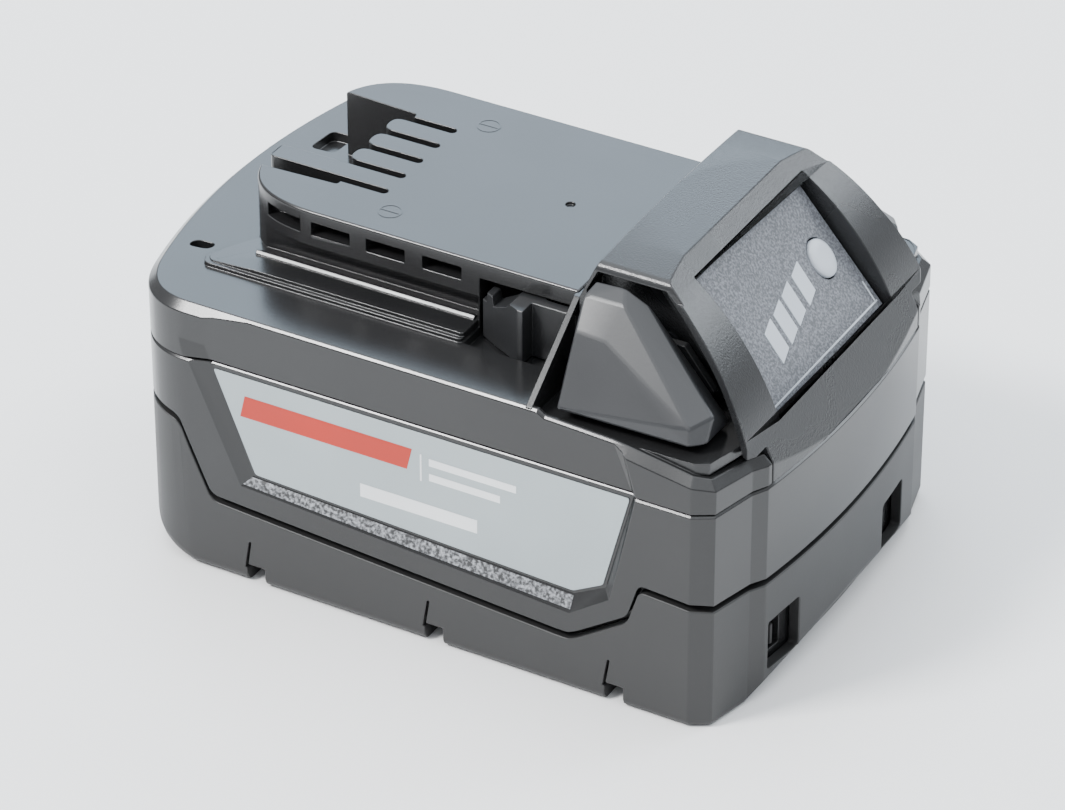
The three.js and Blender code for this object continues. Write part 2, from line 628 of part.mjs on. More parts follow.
addPiece('bus_strip_5', makeStrip(-1, -1, 0), nickel);
addPiece('bus_strip_6', makeStrip(-1, 1, 2), nickel);
addPiece('board_pad', box(-44, 16, -19, 19, 43.6, 45), foamGrey);
addPiece('control_board', box(-46, 18, -26, 26, 45.3, 46.9), boardGreen);
let terminalBlock = box(-30, 4, -16.4, 16.4, 47.3, 60.5);
for (let i = -2; i <= 2; i += 1) {
  const y = i * SLIT_PITCH;
  terminalBlock = terminalBlock.subtract(box(-31, -8, y - 1.6, y + 1.6, 51, 62));
}
addPiece('terminal_block', terminalBlock, holderPlastic);
for (let i = -2; i <= 2; i += 1) {
  const y = i * SLIT_PITCH;
  const clip = box(-29, -9, y - 1.3, y + 1.3, 51.4, 59.6);
  addPiece(`terminal_${i + 3}`, clip.subtract(box(-30, -12, y - 0.55, y + 0.55, 52.2, 60)), copper);
}
const SWITCH = [[-2, -2], [2, -2], [2, 2], [-2, 2]].map(([a, b]) => [BUTTON_AT[0] + a, BUTTON_AT[1] + b]);
addPiece('gauge_switch', slopeBlock(SWITCH, -6.7, -5.6), holderPlastic);
addPiece('power_lead_positive', makeLead(LEAD_POSITIVE), leadRed);
addPiece('power_lead_negative', makeLead(LEAD_NEGATIVE), leadBlack);
SCREWS.forEach((at, i) => addPiece(`case_screw_${i + 1}`, makeScrew(at), steel));

export default pack;
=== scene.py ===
import json
import math

import bmesh
import bpy
from mathutils import Matrix, Vector


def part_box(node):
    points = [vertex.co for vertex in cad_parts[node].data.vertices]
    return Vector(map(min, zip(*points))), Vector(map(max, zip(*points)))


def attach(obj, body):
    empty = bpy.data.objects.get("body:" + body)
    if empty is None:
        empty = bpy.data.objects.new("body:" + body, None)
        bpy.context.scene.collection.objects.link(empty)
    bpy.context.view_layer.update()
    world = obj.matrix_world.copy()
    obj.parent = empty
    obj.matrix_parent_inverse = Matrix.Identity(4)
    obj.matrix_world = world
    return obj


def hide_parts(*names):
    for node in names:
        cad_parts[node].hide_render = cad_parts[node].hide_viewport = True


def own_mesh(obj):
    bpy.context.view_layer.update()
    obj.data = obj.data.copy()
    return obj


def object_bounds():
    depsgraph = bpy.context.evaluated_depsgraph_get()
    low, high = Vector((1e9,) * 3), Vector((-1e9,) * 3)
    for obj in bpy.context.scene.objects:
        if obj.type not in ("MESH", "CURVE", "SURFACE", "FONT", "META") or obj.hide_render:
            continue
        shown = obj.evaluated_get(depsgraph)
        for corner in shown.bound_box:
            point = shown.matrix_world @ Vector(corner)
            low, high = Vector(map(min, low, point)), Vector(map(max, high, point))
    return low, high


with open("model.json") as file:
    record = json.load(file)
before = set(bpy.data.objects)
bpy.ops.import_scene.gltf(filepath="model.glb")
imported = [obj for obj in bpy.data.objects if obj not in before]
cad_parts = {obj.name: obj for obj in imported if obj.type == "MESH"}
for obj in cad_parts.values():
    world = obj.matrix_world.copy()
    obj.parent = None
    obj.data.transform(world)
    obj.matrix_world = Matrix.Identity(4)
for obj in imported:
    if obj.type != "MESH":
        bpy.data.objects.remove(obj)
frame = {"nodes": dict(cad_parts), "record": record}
CAD_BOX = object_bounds()
MM = 0.001
SHARP = 13                       # degrees between two faces, above which the edge is rounded

# ---- driving dimensions ----
HALF_L = CAD_BOX[1].x / MM
HALF_W = CAD_BOX[1].y / MM
CROWN_Z = CAD_BOX[1].z / MM
PARTING_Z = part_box("lower_case")[1].z / MM
DECK_Z = 52.0
TOWER_Z = 64.5
SEAM = 0.16                      # hairline between two cases
FRONT_BOW, REAR_BOW = 360.0, 240.0
FRONT_BOW_W = 27.6               # half width of the bowed part of the front wall
SHOULDER = 1.5                   # chamfer around the deck
GROOVE = 1.3                     # open width of the groove above the boot
GROOVE_DEPTH = 1.5

TOWER_W = 23.0
TOWER_REAR_X = -45.6
BULKHEAD_X = 20.3
LEDGE_W, LEDGE_Z = 28.0, 53.4
RAIL_TOP_Z, RAIL_DEPTH, RAIL_FRONT_X = 57.9, 2.5, 2.0
SLIT_PITCH, SLIT_WIDTH, SLIT_END_X = 5.65, 1.5, -21.9
WINDOW_X, WINDOW_LENGTH, WINDOW_Z = (-39.3, -29.7, -19.2, -8.5), 7.3, (60.0, 62.4)

GAUGE_TOP = (39.47, 70.66)       # x, z of the gauge recess's top edge
GAUGE_LENGTH = 26.66
GAUGE_SLOPE = math.radians(51.66)
GAUGE_BULGE = 1.9
PLATE_OUT = -1.5                 # top of the gauge plate, measured out of the slope
BUTTON_AT, BUTTON_R = (13.2, 12.6), (3.5, 2.9)
BAR_AT = ((14.0, 5.1), (15.2, 0.2), (16.4, -4.1), (17.6, -8.6))

BOOT_EDGE = ((-62, 29.1), (-50.8, 29.1), (-45.6, 28.5), (-39.5, 14.5), (27.4, 10), (29.3, 10.1),
             (39.6, 17), (41.7, 23.8), (50.7, 23.2), (62, 22))
LABEL = ((-40.1, 44), (40.65, 44), (35, 21.7), (29.3, 18.6), (-31.7, 21.3))
LABEL_RECESS = ((-45, 45.5), (41.9, 45.5), (36.4, 20.4), (29, 15.2), (-33.6, 19.4))
LABEL_FLOOR = HALF_W - 1.3
NOTCH_X = ((-32.9, -29.5), (1.7, 5.1), (35.6, 39))
NOTCH_TOP, NOTCH_DEPTH = 3.7, 5.6
PORT_Y = ((-26.5, -17.5), (12.5, 21.5))
SCREWS = ((-50.4, -24), (-50.4, 24), (50.4, -24), (50.4, 24))
POCKET_W, POCKET_FLOOR_Z = 38.8, 50.0
SPRING_AT, SPRING_R = (35, 56.5), 2.6      # x, z of the coils' axis, and their radius
SPRING_WIRE, SPRING_TURNS = 0.35, 10
SPRING_NEAR, SPRING_FAR = 1.7, 22.2
HOOK_TOP_Z, HOOK_PIT_Z, HOOK_PIT_W, HOOK_END_X = 60.9, 50.4, 28.4, 19.0


# ---- outlines ----
def mirrored(half):
    return list(half) + [(x, -y) for x, y in reversed(half) if y > 0.01]


def arc(x_of_y, y0, y1, steps):
    return [(x_of_y(y0 + (y1 - y0) * i / steps), y0 + (y1 - y0) * i / steps) for i in range(steps + 1)]


def curve(a, b, c, steps):
    """Points of a quadratic curve from a to c that heads for b."""
    points = []
    for i in range(steps + 1):
        t = i / steps
        points.append(tuple((1 - t) ** 2 * p + 2 * t * (1 - t) * q + t * t * r for p, q, r in zip(a, b, c)))
    return points


def case_outline(stations=()):
    """Plan of the case. stations are extra x places along the straight sides."""
    half = arc(lambda y: HALF_L - y * y / FRONT_BOW, 0, FRONT_BOW_W, 12)
    half += [(HALF_L - 3.6, FRONT_BOW_W + 2.8), (HALF_L - 5.7, HALF_W - 2), (HALF_L - 9.1, HALF_W)]
    half += [(x, HALF_W) for x in sorted(stations, reverse=True)]
    rear = lambda y: -HALF_L + y * y / REAR_BOW
    corner_y = HALF_W - 11
    half += curve((-HALF_L + 16.5, HALF_W), (-HALF_L + 6.5, HALF_W), (rear(corner_y), corner_y), 20)
    half += arc(rear, corner_y, 0, 12)[1:]
    return mirrored(half)


def inset(points, distance):
    """The outline moved inward by distance, or by a distance that depends on each point."""
    moved = []
    for i, p in enumerate(points):
        d = distance(p) if callable(distance) else distance
        sides = []
        for a, b in ((points[i - 1], p), (p, points[(i + 1) % len(points)])):
            length = math.hypot(b[0] - a[0], b[1] - a[1])
            sides.append(((a[1] - b[1]) / length, (b[0] - a[0]) / length))
        (ux, uy), (vx, vy) = sides
        scale = d / (1 + ux * vx + uy * vy)
        moved.append((p[0] + (ux + vx) * scale, p[1] + (uy + vy) * scale))
    return moved


def rounded(points, size, steps=5):
    """The outline with each corner cut round. size is the length taken off each side of a corner."""
    result = []
    for i, p in enumerate(points):
        cut = size[i] if isinstance(size, (list, tuple)) else size
        ends = []
        for q in (points[i - 1], points[(i + 1) % len(points)]):
            length = math.hypot(q[0] - p[0], q[1] - p[1])
            share = min(cut, 0.48 * length) / length
            ends.append((p[0] + (q[0] - p[0]) * share, p[1] + (q[1] - p[1]) * share))
        result += curve(ends[0], p, ends[1], steps) if cut > 0 else [p]
    return result


def oval(center, radii, grow=0.0, steps=40):
    turns = [2 * math.pi * i / steps for i in range(steps)]
    return [(center[0] + (radii[0] + grow) * math.cos(a), center[1] + (radii[1] + grow) * math.sin(a))
            for a in turns]


def slope_point(down, out):
    """x, z of a point on the gauge slope."""
    return (GAUGE_TOP[0] + math.cos(GAUGE_SLOPE) * down + math.sin(GAUGE_SLOPE) * out,
            GAUGE_TOP[1] - math.sin(GAUGE_SLOPE) * down + math.cos(GAUGE_SLOPE) * out)


def slope_curve(offset, steps=16):
    places = [i / steps for i in range(steps + 1)]
    return [slope_point(GAUGE_LENGTH * t, 4 * GAUGE_BULGE * t * (1 - t) + offset) for t in places]


# ---- solids ----
UP = lambda u, v, w: (u, v, w)            # outline in x, y, thickness along z
ACROSS = lambda u, v, w: (u, w, v)        # outline in x, z, thickness along y
ALONG = lambda u, v, w: (w, u, v)         # outline in y, z, thickness along x


def on_slope(down, y, out):
    x, z = slope_point(down, out)
    return (x, y, z)


def make(points, faces):
    mesh = bpy.data.meshes.new("work")
    mesh.from_pydata([Vector(p) for p in points], [], faces)
    work = bmesh.new()
    work.from_mesh(mesh)
    bmesh.ops.recalc_face_normals(work, faces=work.faces)
    work.to_mesh(mesh)
    work.free()
    obj = bpy.data.objects.new("work", mesh)
    bpy.context.scene.collection.objects.link(obj)
    return obj


def loft(rings):
    """A closed solid through rings of equal length."""
    count = len(rings[0])
    faces = [list(range(count)), [count * (len(rings) - 1) + i for i in range(count)]]
    for k in range(len(rings) - 1):
        for i in range(count):
            j = (i + 1) % count
            faces.append([k * count + i, k * count + j, (k + 1) * count + j, (k + 1) * count + i])
    return make([p for ring in rings for p in ring], faces)


def prism(place, outline, low, high):
    return loft([[place(u, v, w) for u, v in outline] for w in (low, high)])


def block(x0, x1, y0, y1, z0, z1):
    return prism(UP, [(x0, y0), (x1, y0), (x1, y1), (x0, y1)], z0, z1)


def side_block(side, x0, x1, near, far, z0, z1):
    low, high = sorted((side * near, side * far))
    return block(x0, x1, low, high, z0, z1)


def side_prism(side, outline, near, far):
    low, high = sorted((side * near, side * far))
    return prism(ACROSS, outline, low, high)


def hull(points):
    work = bmesh.new()
    for p in points:
        work.verts.new(p)
    made = bmesh.ops.convex_hull(work, input=work.verts)
    bmesh.ops.delete(work, geom=[v for v in made["geom_interior"] if isinstance(v, bmesh.types.BMVert)],
                     context="VERTS")
    mesh = bpy.data.meshes.new("work")
    work.to_mesh(mesh)
    work.free()
    obj = bpy.data.objects.new("work", mesh)
    bpy.context.scene.collection.objects.link(obj)
    return clean(obj)


def apply(obj):
    graph = bpy.context.evaluated_depsgraph_get()
    mesh = bpy.data.meshes.new_from_object(obj.evaluated_get(graph))
    obj.modifiers.clear()
    obj.data = mesh
    return obj


def clean(obj):
    """Joins points that fell together and faces that lie in one plane."""
    work = bmesh.new()
    work.from_mesh(obj.data)
    bmesh.ops.remove_doubles(work, verts=work.verts, dist=0.004)
    bmesh.ops.dissolve_limit(work, angle_limit=math.radians(0.3), verts=work.verts, edges=work.edges)
    bmesh.ops.recalc_face_normals(work, faces=work.faces)
    work.to_mesh(obj.data)
    work.free()
    return obj


def combine(obj, others, how):
    for other in others:
        modifier = obj.modifiers.new("combine", "BOOLEAN")
        modifier.operation = how
        modifier.solver = "EXACT"
        modifier.object = other
    apply(obj)
    for other in others:
        bpy.data.objects.remove(other)
    return clean(obj)


def cut(obj, *tools):
    return combine(obj, tools, "DIFFERENCE")


def join(obj, *parts):
    return combine(obj, parts, "UNION")


def keep(obj, *regions):
    return combine(obj, regions, "INTERSECT")


def bevel_room(edge):
    """The widest rounding that fits beside an edge, from the lengths and angles of its neighbours."""
    room = math.inf
    share = 0.42                 # of a neighbour's length, so that two roundings fit on it
    for vert in edge.verts:
        along = (edge.other_vert(vert).co - vert.co).normalized()
        goes_on = False
        for other in vert.link_edges:
            if other is edge:
                continue
            turn = along.dot((other.other_vert(vert).co - vert.co).normalized())
            if turn < -0.85:
                goes_on = True
            else:
                spread = math.sqrt(max(1 - turn * turn, 0)) if turn > 0 else 1
                room = min(room, share * other.calc_length() * spread)
        if not goes_on:
            room = min(room, share * edge.calc_length())
    return room


def bevel(obj, width, limit, segments):
    """Rounds the edges sharper than limit degrees, more narrowly where there is little room."""
    work = bmesh.new()
    work.from_mesh(obj.data)
    layers = work.edges.layers.float
    weight = layers.get("bevel_weight_edge") or layers.new("bevel_weight_edge")
    for edge in work.edges:
        sharp = edge.is_manifold and edge.calc_face_angle() > math.radians(limit)
        edge[weight] = min(bevel_room(edge) / width, 1) if sharp else 0
    work.to_mesh(obj.data)
    work.free()
    modifier = obj.modifiers.new("edges", "BEVEL")
    modifier.width = width
    modifier.segments = segments
    modifier.limit_method = "WEIGHT"
    modifier.miter_outer = "MITER_ARC"
    modifier.use_clamp_overlap = False
    return apply(obj)


def finish(obj, name, material, body, nodes, edge=0.2, segments=3):
    """Rounds the edges, shades, scales to metres and hands the piece to the frame."""
    if edge:
        bevel(obj, edge, SHARP, segments)
    obj.name = obj.data.name = name
    for polygon in obj.data.polygons:
        polygon.use_smooth = True
    normals = obj.modifiers.new("normals", "WEIGHTED_NORMAL")
    normals.keep_sharp = True
    normals.weight = 60
    apply(obj)
    obj.data.transform(Matrix.Scale(MM, 4))
    obj.data.materials.clear()
    obj.data.materials.append(material)
    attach(obj, body)
    if nodes:
        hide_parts(*nodes)
    return obj


# ---- materials ----
def shader(name, color, roughness, metallic=0.0):
    material = bpy.data.materials.new(name)
    material.use_nodes = True
    principled = material.node_tree.nodes["Principled BSDF"]
    principled.inputs["Base Color"].default_value = (*color, 1)
    principled.inputs["Roughness"].default_value = roughness
    principled.inputs["Metallic"].default_value = metallic
    return material, material.node_tree, principled


def noise(tree, scale, detail, coordinates):
    node = tree.nodes.new("ShaderNodeTexNoise")
    node.inputs["Scale"].default_value = scale
    node.inputs["Detail"].default_value = detail
    tree.links.new(coordinates, node.inputs["Vector"])
    return node.outputs["Fac"]


def ramp(tree, value, low, high, start, end):
    """Maps value from start..end to the colours low..high."""
    node = tree.nodes.new("ShaderNodeValToRGB")
    node.color_ramp.elements[0].position = start
    node.color_ramp.elements[0].color = (*low, 1)
    node.color_ramp.elements[1].position = end
    node.color_ramp.elements[1].color = (*high, 1)
    tree.links.new(value, node.inputs["Fac"])
    return node.outputs["Color"]


def grey(value):
    return (value, value, value)


def tint(color, factor):
    return tuple(c * factor for c in color)


def moulded(name, color, roughness, grain, grain_size, vary=0.07, rough_vary=0.02, metallic=0.0):
    """Moulded plastic or rubber: fine eroded grain, slightly uneven colour and gloss."""
    material, tree, principled = shader(name, color, roughness, metallic)
    place = tree.nodes.new("ShaderNodeTexCoord").outputs["Object"]
    fine = noise(tree, 1 / (grain_size * MM), 3, place)
    broad = noise(tree, 1 / (16 * MM), 1, place)
    bump = tree.nodes.new("ShaderNodeBump")
    bump.inputs["Strength"].default_value = 1.0
    bump.inputs["Distance"].default_value = grain * MM
    tree.links.new(fine, bump.inputs["Height"])
    tree.links.new(bump.outputs["Normal"], principled.inputs["Normal"])
    tree.links.new(ramp(tree, broad, tint(color, 1 - vary), tint(color, 1 + vary), 0.3, 0.7),
                   principled.inputs["Base Color"])
    tree.links.new(ramp(tree, broad, grey(roughness - rough_vary), grey(roughness + rough_vary), 0.35, 0.65),
                   principled.inputs["Roughness"])
    return material


def speckled(name, dark, light, roughness, size):
    """Sandblasted plate with light grains. On the label's bevel strip the light grains are a painted
    highlight.
    """
    material = moulded(name, dark, roughness, 0.05, size)
    tree = material.node_tree
    principled = tree.nodes["Principled BSDF"]
    place = tree.nodes.new("ShaderNodeTexCoord").outputs["Object"]
    grains = noise(tree, 1 / (size * MM), 2, place)
    tree.links.new(ramp(tree, grains, dark, light, 0.4, 0.66), principled.inputs["Base Color"])
    return material


def materials():
    return {
        "boot": moulded("boot_rubber", (0.017, 0.017, 0.0172), 0.46, 0.012, 0.5),
        "case": moulded("case_plastic", (0.012, 0.0121, 0.0125), 0.22, 0.005, 0.45),
        "head": moulded("head_plastic", (0.016, 0.0165, 0.0175), 0.27, 0.045, 0.33),
        "latch_pad": moulded("pad_rubber", (0.024, 0.025, 0.027), 0.36, 0.006, 0.5),
        "latch_hook": moulded("hook_plastic", (0.02, 0.0204, 0.0215), 0.3, 0.006, 0.4),
        "gauge_plate": speckled("gauge_plate_grey", (0.085, 0.09, 0.1), (0.2, 0.21, 0.235), 0.45, 0.42),
        "light_bar": moulded("bar_light", (0.5, 0.54, 0.59), 0.35, 0.008, 0.3, 0.05),
        "label": moulded("label_film", (0.34, 0.385, 0.4), 0.38, 0.002, 0.25, 0.04, 0.04, 0.35),
        "accent": moulded("accent_red", (0.42, 0.018, 0.006), 0.55, 0.002, 0.25, 0.04),
        "print": moulded("print_white", (0.72, 0.74, 0.75), 0.4, 0.002, 0.25, 0.04),
        # painted highlight: light grains that stand in for the sheen of an upward-facing bevel
        "sheen_grain": speckled("grain_painted_sheen", (0.03, 0.03, 0.031), (0.3, 0.31, 0.33), 0.45, 0.55),
        "cell": moulded("cell_sleeve", (0.03, 0.15, 0.24), 0.35, 0.004, 0.6),
        "holder": moulded("holder_plastic", (0.03, 0.03, 0.032), 0.5, 0.01, 0.5),
        "board": moulded("board_green", (0.012, 0.09, 0.035), 0.4, 0.01, 0.8),
        "copper": moulded("copper_blade", (0.75, 0.36, 0.17), 0.3, 0.002, 0.3, 0.1, 0.08, 1.0),
        "nickel": moulded("nickel_strip", (0.55, 0.54, 0.5), 0.3, 0.002, 0.3, 0.1, 0.08, 1.0),
        "steel": moulded("steel", (0.45, 0.46, 0.48), 0.32, 0.002, 0.3, 0.1, 0.08, 1.0),
        "foam": moulded("foam_grey", (0.12, 0.125, 0.13), 0.9, 0.08, 0.6),
        "lead_red": moulded("lead_red", (0.4, 0.03, 0.02), 0.42, 0.004, 0.5),
        "lead_black": moulded("lead_black", (0.012, 0.012, 0.013), 0.42, 0.004, 0.5),
    }


LOOK = materials()


# ---- boot ----
def boot_region(rise):
    """Everything below the boot's zigzag edge, raised by rise."""
    edge = [(x, z + rise) for x, z in BOOT_EDGE]
    sizes = [0, 0, 2.2, 1.6, 1.6, 2.5, 2.5, 1.2, 1.2, 2.0, 0, 0]
    return prism(ACROSS, rounded([(-62, -5)] + edge + [(62, -5)], sizes), -50, 50)


def foot_rounding(size, steps=8):
    """(height, inset) pairs of a quarter round at the foot."""
    turns = [math.pi / 2 * i / steps for i in range(steps + 1)]
    return [(size * (1 - math.cos(a)), size * (1 - math.sin(a))) for a in turns]


def bottom_corners():
    """What is cut off below: the facet of the front end and the curve of the rear end."""
    front = [(HALF_L - 5, -1), (HALF_L - 4.4, 0), (HALF_L - 0.6, 5.5), (HALF_L + 1, 9), (HALF_L + 3, -1)]
    rear = [(-x, z) for x, z in curve((HALF_L - 7, 0), (HALF_L - 0.6, 0), (HALF_L, 8.5), 10)]
    return (prism(ACROSS, front, -45, 45),
            prism(ACROSS, rear + [(-HALF_L - 4, 8.5), (-HALF_L - 4, -3), (-HALF_L + 7, -3)], -45, 45))


def port_clip(y0, y1):
    """Ribbed plug seen inside an end port."""
    clip = block(53.6, 55.4, y0 + 1.4, y1 - 3.2, 6.6, 12.6)
    return join(clip, block(53.6, 56.2, y0 + 2.4, y0 + 3.2, 6.6, 13.2),
                block(53.6, 56.2, y0 + 4.4, y0 + 5.2, 6.6, 10.6))


def bottom_notches(side):
    """Notches along the foot of a long side, each with a thin slit that rises from it."""
    tools = []
    for x0, x1 in NOTCH_X:
        tools.append(side_block(side, x0, x1, HALF_W - NOTCH_DEPTH, HALF_W + 2, -1, NOTCH_TOP))
        slit = [(x0 - 0.4, 3), (x0 + 0.1, 3), (x0 + 0.9, 8.4), (x0 + 0.5, 8.4)]
        tools.append(side_prism(side, slit, HALF_W - 1.2, HALF_W + 2))
    return tools


def foot_size(x, y):
    """Radius of the foot rounding: larger round the two rear corners."""
    rear = min(max((-x - 42) / 12, 0), 1) * min(max((abs(y) - 20) / 12, 0), 1)
    return 1.5 + 4.5 * rear


def build_boot():
    outline = case_outline()
    sizes = [foot_size(x, y) for x, y in outline]
    rings = []
    for z, d in foot_rounding(1):
        ring = inset(outline, lambda p: d * foot_size(*p))
        rings.append([(x, y, z * size) for (x, y), size in zip(ring, sizes)])
    rings.append([(x, y, 33) for x, y in outline])
    boot = loft(rings)
    cut(boot, *bottom_corners())
    keep(boot, boot_region(0))
    cut(boot, prism(UP, inset(outline, 2.0), 2, 40))
    cut(boot, *bottom_notches(1), *bottom_notches(-1))
    for y0, y1 in PORT_Y:
        cut(boot, prism(ALONG, rounded([(y0, 5), (y1, 5), (y1, 14.6), (y0, 14.6)], 0.8), 53, 62))
    cut(boot, *[prism(UP, oval(at, (4, 4)), -1, 3) for at in SCREWS])
    for y0, y1 in PORT_Y:
        join(boot, port_clip(y0, y1))
    return finish(boot, "boot_shell", LOOK["boot"], "pack", ["base_boot"], 0.25)


# ---- lower case ----
def label_recess(side):
    rim = [(x, side * LABEL_FLOOR, z) for x, z in LABEL]
    rim += [(x, side * y, z) for x, z in LABEL_RECESS for y in (HALF_W + 0.01, HALF_W + 3)]
    return hull(rim)


def label_ledge(side):
    """Chamfer of the lower case's top edge in the label recess."""
    section = [(LABEL_FLOOR + 0.6, PARTING_Z - 1.05), (LABEL_FLOOR - 0.6, PARTING_Z + 0.15),
               (LABEL_FLOOR + 3, PARTING_Z + 2)]
    return prism(ALONG, [(side * y, z) for y, z in section], LABEL[0][0] + 0.7, LABEL[1][0] - 0.6)


def build_lower_case():
    outline = case_outline()
    rings = [(5, 0), (PARTING_Z - 0.55, 0), (PARTING_Z - SEAM, 0.45)]
    shell = loft([[(x, y, z) for x, y in inset(outline, d)] for z, d in rings])
    cut(shell, boot_region(GROOVE))
    join(shell, prism(UP, inset(outline, GROOVE_DEPTH + 0.8), 2.3, PARTING_Z - 1.2))
    cut(shell, prism(UP, inset(outline, 4.3), 4.3, 60))
    cut(shell, label_recess(1), label_recess(-1))
    cut(shell, label_ledge(1), label_ledge(-1))
    cut(shell, *bottom_notches(1), *bottom_notches(-1))
    cut(shell, *[block(54, 60, y0 + 1.2, y1 - 2.5, 6.2, 11.5) for y0, y1 in PORT_Y])
    return finish(shell, "lower_shell", LOOK["case"], "pack", ["lower_case"], 0.1)


# ---- top case ----
SILL = ((22.4, DECK_Z), (23.6, 51.2), (36, 50.6), (39, 50.2), (45, 49.2), (HALF_L - 9.1, 48.3),
        (57, 47.2), (61, 47))


def top_height(x):
    """Height of the case's top edge: level round the deck, lower along the sill of the latch pockets."""
    if x <= SILL[0][0]:
        return DECK_Z
    for (x0, z0), (x1, z1) in zip(SILL, SILL[1:]):
        if x <= x1:
            return z0 + (z1 - z0) * (x - x0) / (x1 - x0)
    return SILL[-1][1]


def label_hollow(side):
    """Shallow hollow of the upper case above the label. It fades out towards the shoulder."""
    inner = [(-39.3, LABEL_FLOOR, 41), (-40.6, LABEL_FLOOR + 0.05, 44.4), (-30, HALF_W - 0.95, DECK_Z + 1),
             (35.4, HALF_W - 0.95, DECK_Z + 1), (39.9, LABEL_FLOOR, 41)]
    rim = [(-43.8, 41), (-45, 45.4), (-37, 54), (37.5, 54), (41.2, 41)]
    points = [(x, side * y, z) for x, y, z in inner]
    points += [(x, side * y, z) for x, z in rim for y in (HALF_W + 0.01, HALF_W + 3)]
    return hull(points)


GATE_MARK = (6.4, 0)
MOULD_MARKS = ((-18.4, -16.4), (-18.0, 15.7))
DECK_HOLLOWS = (((-53.2, -24.6), (-49.4, -24.1), (-49, -22), (-52.8, -22.4)),
                ((-52, 12.9), (-47.4, 13.2), (-46.9, 19.6), (-51.4, 19.4)))


def tower_outline():
    rear = [(BULKHEAD_X + 0.4, TOWER_W)] + curve((-30, TOWER_W), (-44, 22.6), (TOWER_REAR_X, 11.5), 14)
    return mirrored([(BULKHEAD_X + 0.4, 0)] + rear + [(TOWER_REAR_X, 0)])


def ledge(side, step, top):
    """One tier of the ledge under the rails."""
    outline = [(RAIL_FRONT_X, 13.8), (RAIL_FRONT_X, LEDGE_W + step), (-46.5 - step, LEDGE_W + step),
               (-47.6 - step, 26.5), (-45.5 - step, 22), (-40, 13.8)]
    tier = prism(UP, rounded([(x, side * y) for x, y in outline], [0, 0.8, 0.8, 0.8, 0, 0]), DECK_Z - 1, top)
    return cut(tier, prism(ACROSS, [(-54, DECK_Z + 0.5), (-36, LEDGE_Z + 0.1), (-54, 60)], -35, 35))


def rail_rib(side):
    section = [(TOWER_W - 1.5, LEDGE_Z - 0.3), (TOWER_W + 0.5, LEDGE_Z - 0.3), (TOWER_W + 0.5, LEDGE_Z + 0.2),
               (TOWER_W, LEDGE_Z + 0.65), (TOWER_W - 1.2, LEDGE_Z - 0.1)]
    return prism(ALONG, [(side * y, z) for y, z in section], -40.5, RAIL_FRONT_X - 0.6)


def slit(y):
    tip = SLIT_END_X - SLIT_WIDTH / 2
    half = SLIT_WIDTH / 2
    end = [(tip + half * math.cos(a), y + half * math.sin(a))
           for a in [math.radians(-90 + 18 * i) for i in range(11)]]
    return prism(UP, [(-55, y - half)] + end + [(-55, y + half)], DECK_Z + 0.2, 70)


def rear_notch():
    """Gap in the rear of the tower, less the fingers between the contact slits that stand in it."""
    gap = prism(UP, rounded([(-55, -14.4), (-30.6, -13.1), (-30.6, 13.1), (-55, 14.4)], [0, 0.5, 0.5, 0]),
                DECK_Z, 70)
    width = SLIT_PITCH - SLIT_WIDTH
    for i in range(-2, 2):
        middle = (i + 0.5) * SLIT_PITCH
        low, high = middle - width / 2, middle + width / 2
        # the first finger runs to the tower's rear end
        tip, size = (TOWER_REAR_X + 0.2, 1.0) if i == -2 else (-33.4, 1.9)
        finger = rounded([(tip, low), (-20, low), (-20, high), (tip, high)], [size, 0, 0, size])
        cut(gap, prism(UP, finger, 40, 75))
    return gap


def build_mould_mark(at, number):
    """Plain raised ring with a bar across it, as moulds leave on a flat face."""
    ring = prism(UP, oval(at, (2.1, 2.1)), TOWER_Z - 0.3, TOWER_Z + 0.07)
    cut(ring, prism(UP, oval(at, (1.8, 1.8)), 60, 70))
    join(ring, block(at[0] - 1.9, at[0] + 1.9, at[1] - 0.15, at[1] + 0.15, TOWER_Z - 0.3, TOWER_Z + 0.07))
    return finish(ring, f"mould_mark_{number}", LOOK["case"], "pack", [], 0)


